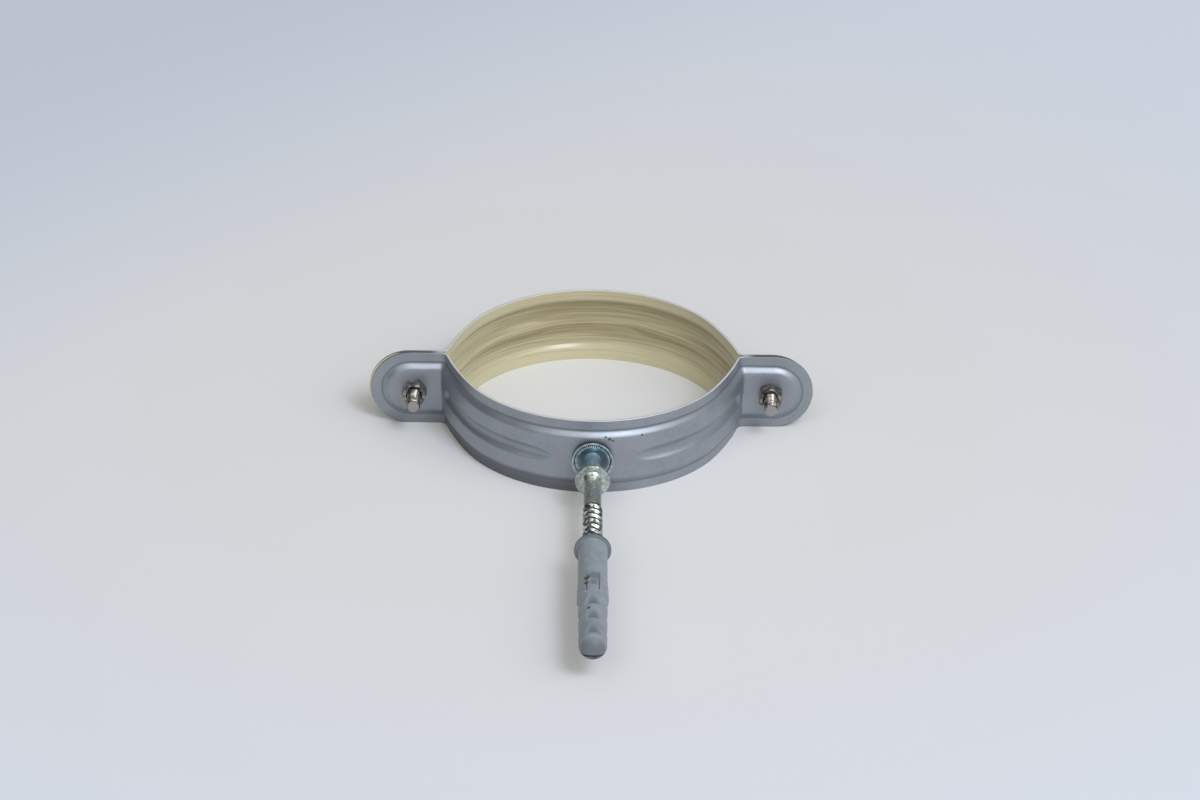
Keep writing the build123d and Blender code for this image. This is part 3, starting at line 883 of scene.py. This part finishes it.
# ---------------------------------------------------------------------------------------------------------
# Clamp screws and nuts
# Two M5 pan head screws, pushed in from the rear, and two plain hexagon nuts on the front ears. Bright zinc
# plated steel, still shiny on the flats, with bare grey ends.
# ---------------------------------------------------------------------------------------------------------
ear_seat = ear_face + panel_outside
m5_radius = 2.5 * MM
screw_x = 65.2 * MM
head_radius, head_height, head_rim = 4.75 * MM, 3.4 * MM, 1.3 * MM
recess_reach, recess_half, recess_depth, recess_taper = 2.5 * MM, 0.55 * MM, 2.0 * MM, 0.42 * MM
screw_end = 18.0 * MM - ear_seat
nut_flat, nut_height = 4.0 * MM, 4.7 * MM
nut_bore = m5_radius + 0.06 * MM
nut_corner = 2 * nut_flat / sqrt(3)
nut_drop = (nut_corner - nut_flat) * tan(radians(30))

bright_steel, tree, shader = zinc(
    "bright_steel", srgb(172, 168, 162), srgb(96, 89, 81), 1.8 * MM, 0.17, spread=0.08,
)
distance = to_wall(tree, object_place(tree))
bare_end = ramp(tree, distance, screw_end - 0.35 * MM, screw_end - 0.1 * MM)
plating = shader.inputs["Base Color"].links[0].from_socket
clean_head = ramp(tree, distance, -1.0 * MM, 0.0, 0.85, 0.0)
plating = mix(tree, clean_head, plating, srgb(196, 195, 192))
tree.links.new(mix(tree, bare_end, plating, srgb(172, 170, 167)), shader.inputs["Base Color"])
tree.links.new(ramp(tree, bare_end, 0.0, 1.0, 0.18, 0.5), shader.inputs["Roughness"])

m5_thread = {
    "Pitch": 0.8 * MM,
    "Depth": 0.3 * MM,
    "Crest": 0.2,
    "From": 0.5 * MM,
    "To": screw_end + 0.6 * MM,
    "Run out": 0.6 * MM,
}
crown = -ear_seat - head_height
dome_rise = head_height - head_rim
dome_radius = (dome_rise ** 2 + head_radius ** 2) / (2 * dome_rise)
dome_turn = atan2(head_radius, dome_radius - dome_rise)
dome = [(crown + dome_radius * (1 - cos(a)), dome_radius * sin(a)) for a in np.linspace(0, dome_turn, 16)]
under_head = [(-ear_seat - 0.05 * MM, head_radius), (-ear_seat, m5_radius), (0, m5_radius)]
pan_head = dome[:-1] + eased([dome[-1], *under_head], 0.2 * MM)
shank_line = [(along, m5_radius) for along in np.linspace(0.1 * MM, screw_end - 0.4 * MM, 190)]
screw_foot = [(screw_end - 0.02 * MM, 2.12 * MM), (screw_end, 2.05 * MM), (screw_end, 0.0)]
screw_line = pan_head + shank_line + screw_foot
nut_line = [
    (ear_seat, nut_bore),
    (ear_seat, nut_flat),
    (ear_seat + nut_drop, nut_corner + 0.01 * MM),
    (ear_seat + nut_height - nut_drop, nut_corner + 0.01 * MM),
    (ear_seat + nut_height, nut_flat),
    (ear_seat + nut_height, m5_radius + 0.45 * MM),
    (ear_seat + nut_height - 0.4 * MM, nut_bore),
]


def cross_recess(centre_x):
    """The cross pressed into a pan head, narrowing as it goes in."""
    verts = []
    for y, narrow in ((-crown + 0.1 * MM, 0.0), (-crown - recess_depth, recess_taper)):
        far, near = recess_reach - narrow, recess_half - narrow
        corner = [(far, near), (near, near), (near, far)]
        for turn in range(4):
            c, s = round(cos(turn * pi / 2)), round(sin(turn * pi / 2))
            verts += [(centre_x + x * c - z * s, y, x * s + z * c) for x, z in corner]
    sides = [tuple(range(12)), tuple(range(23, 11, -1))]
    sides += [(i, i + 12, (i + 1) % 12 + 12, (i + 1) % 12) for i in range(12)]
    return piece("recess", verts, sides, smooth=False)


def hexagon_bar(centre_x, turn):
    """The bar a nut is cut from, its edges very slightly rounded."""
    verts = []
    for y in (-ear_seat + overrun, -ear_seat - nut_height - overrun):
        verts += [(centre_x + nut_corner * cos(a), y, nut_corner * sin(a))
                  for a in (turn + i * pi / 3 for i in range(6))]
    sides = [tuple(range(6)), tuple(range(11, 5, -1))]
    sides += [(i, i + 6, (i + 1) % 6 + 6, (i + 1) % 6) for i in range(6)]
    bar = piece("bar", verts, sides, smooth=False)
    soften = bar.modifiers.new("round", "BEVEL")
    soften.width = 0.12 * MM
    soften.segments = 2
    settle(bar)
    return bar


for hand, side, turn in (("left", -1, radians(8)), ("right", 1, radians(24))):
    screw = lathe(hand + "_screw", screw_line, around=64, centre_x=side * screw_x)
    grow(screw, cut, {**m5_thread, "Centre X": side * screw_x, "Material": bright_steel})
    bore(screw, [cross_recess(side * screw_x)])
    crisp(screw, 34.0)
    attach(screw, "rear_half")
    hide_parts(hand + "_clamp_screw")

    nut = lathe(hand + "_nut", nut_line, around=96, centre_x=side * screw_x, loop=True)
    bore(nut, [hexagon_bar(side * screw_x, turn)], kind="INTERSECT")
    nut.data.materials.clear()
    nut.data.materials.append(bright_steel)
    crisp(nut, 20.0)
    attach(nut, hand + "_nut")
    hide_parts(hand + "_clamp_nut")


# ---------------------------------------------------------------------------------------------------------
# Floor, light and camera
# The clamp stands on its lower rims on a sheet of pale paper, in the soft light of a window on the right.
# ---------------------------------------------------------------------------------------------------------
floor_level = cad_box[0][2]
floor_half = 3.0
floor_corners = [(-floor_half, -floor_half), (floor_half, -floor_half),
                 (floor_half, floor_half), (-floor_half, floor_half)]
floor = piece("floor", [(x, y, floor_level) for x, y in floor_corners], [(0, 1, 2, 3)])
paper, tree, shader = new_finish("pale_paper", 0.9)
away = vector_math(tree, "LENGTH", object_place(tree), result="Value")
# Painted light: the paper is kept neutral near the clamp, where its warm bounce light falls, and turns bluer
# further out.
sheet_colour = mix(tree, ramp(tree, away, 0.06, 0.5), srgb(228, 228, 226), srgb(222, 229, 240))
# Painted shade: the paper darkens towards the back left, where the window's light falls off.
at = axes(tree, object_place(tree))
corner = ramp(tree, calc(tree, "SUBTRACT", at[1], at[0]), 0.2, 0.55)
tree.links.new(mix(tree, corner, sheet_colour, srgb(208, 216, 227)), shader.inputs["Base Color"])
floor.data.materials.append(paper)

# The room: a wide bright wall in front of the clamp and to its right, dim on the left and dark behind it.
world = bpy.data.worlds.new("room")
scene.world = world
world.use_nodes = True
tree = world.node_tree
sky = axes(tree, add(tree, "ShaderNodeTexCoord").outputs["Generated"])
around = calc(tree, "ARCTAN2", sky[0], calc(tree, "MULTIPLY", sky[1], -1.0))
facing = ramp(tree, calc(tree, "ABSOLUTE", calc(tree, "SUBTRACT", around, 0.75)), 1.0, 1.9, 1.0, 0.0)
horizon = ramp(tree, facing, 0.0, 1.0, 0.07, 0.42, kind="LINEAR")
ceiling = ramp(tree, sky[2], 0.35, 0.8)
wall_turn = calc(tree, "ABSOLUTE", calc(tree, "SUBTRACT", around, 0.35))
bright_wall = product(
    tree, ramp(tree, wall_turn, 0.8, 1.4, 1.45, 0.0), ramp(tree, sky[2], 0.34, 0.56),
    ramp(tree, sky[2], 0.84, 0.95, 1.0, 0.0),
)
room = calc(tree, "ADD", product(tree, horizon, calc(tree, "SUBTRACT", 1.0, ceiling)),
            calc(tree, "ADD", product(tree, ceiling, 0.4), bright_wall))
light = add(tree, "ShaderNodeVectorMath", {"operation": "SCALE"}, {0: (1.0, 0.99, 0.97), "Scale": room})
tree.links.new(light.outputs[0], tree.nodes["Background"].inputs["Color"])


def soft_light(name, place, target, size, power, colour):
    """A square area lamp turned to its target."""
    lamp = bpy.data.lights.new(name, "AREA")
    lamp.shape = "SQUARE"
    lamp.size = size
    lamp.energy = power
    lamp.color = colour
    obj = bpy.data.objects.new(name, lamp)
    obj.location = place
    obj.rotation_euler = (Vector(target) - Vector(place)).to_track_quat("-Z", "Y").to_euler()
    scene.collection.objects.link(obj)


soft_light("window", (0.71, -1.31, 1.63), (0, 0, 0), 0.66, 19.0, (0.745, 0.823, 1.0))

camera_place = Vector((-12.8, -1448.4, 792.9)) * MM
camera_pitch = radians(28.84)               # down
camera_roll = radians(1.01)
camera_yaw = radians(0.62)                  # to the right
camera_data = bpy.data.cameras.new("camera")
camera_data.lens = 135.0
camera_data.sensor_width = 36.0
camera_data.clip_start = 0.01
camera = bpy.data.objects.new("camera", camera_data)
turn = Matrix.Rotation(-camera_yaw, 4, "Z") @ Matrix.Rotation(pi / 2 - camera_pitch, 4, "X")
camera.matrix_world = Matrix.Translation(camera_place) @ turn @ Matrix.Rotation(camera_roll, 4, "Z")
scene.collection.objects.link(camera)
scene.camera = camera
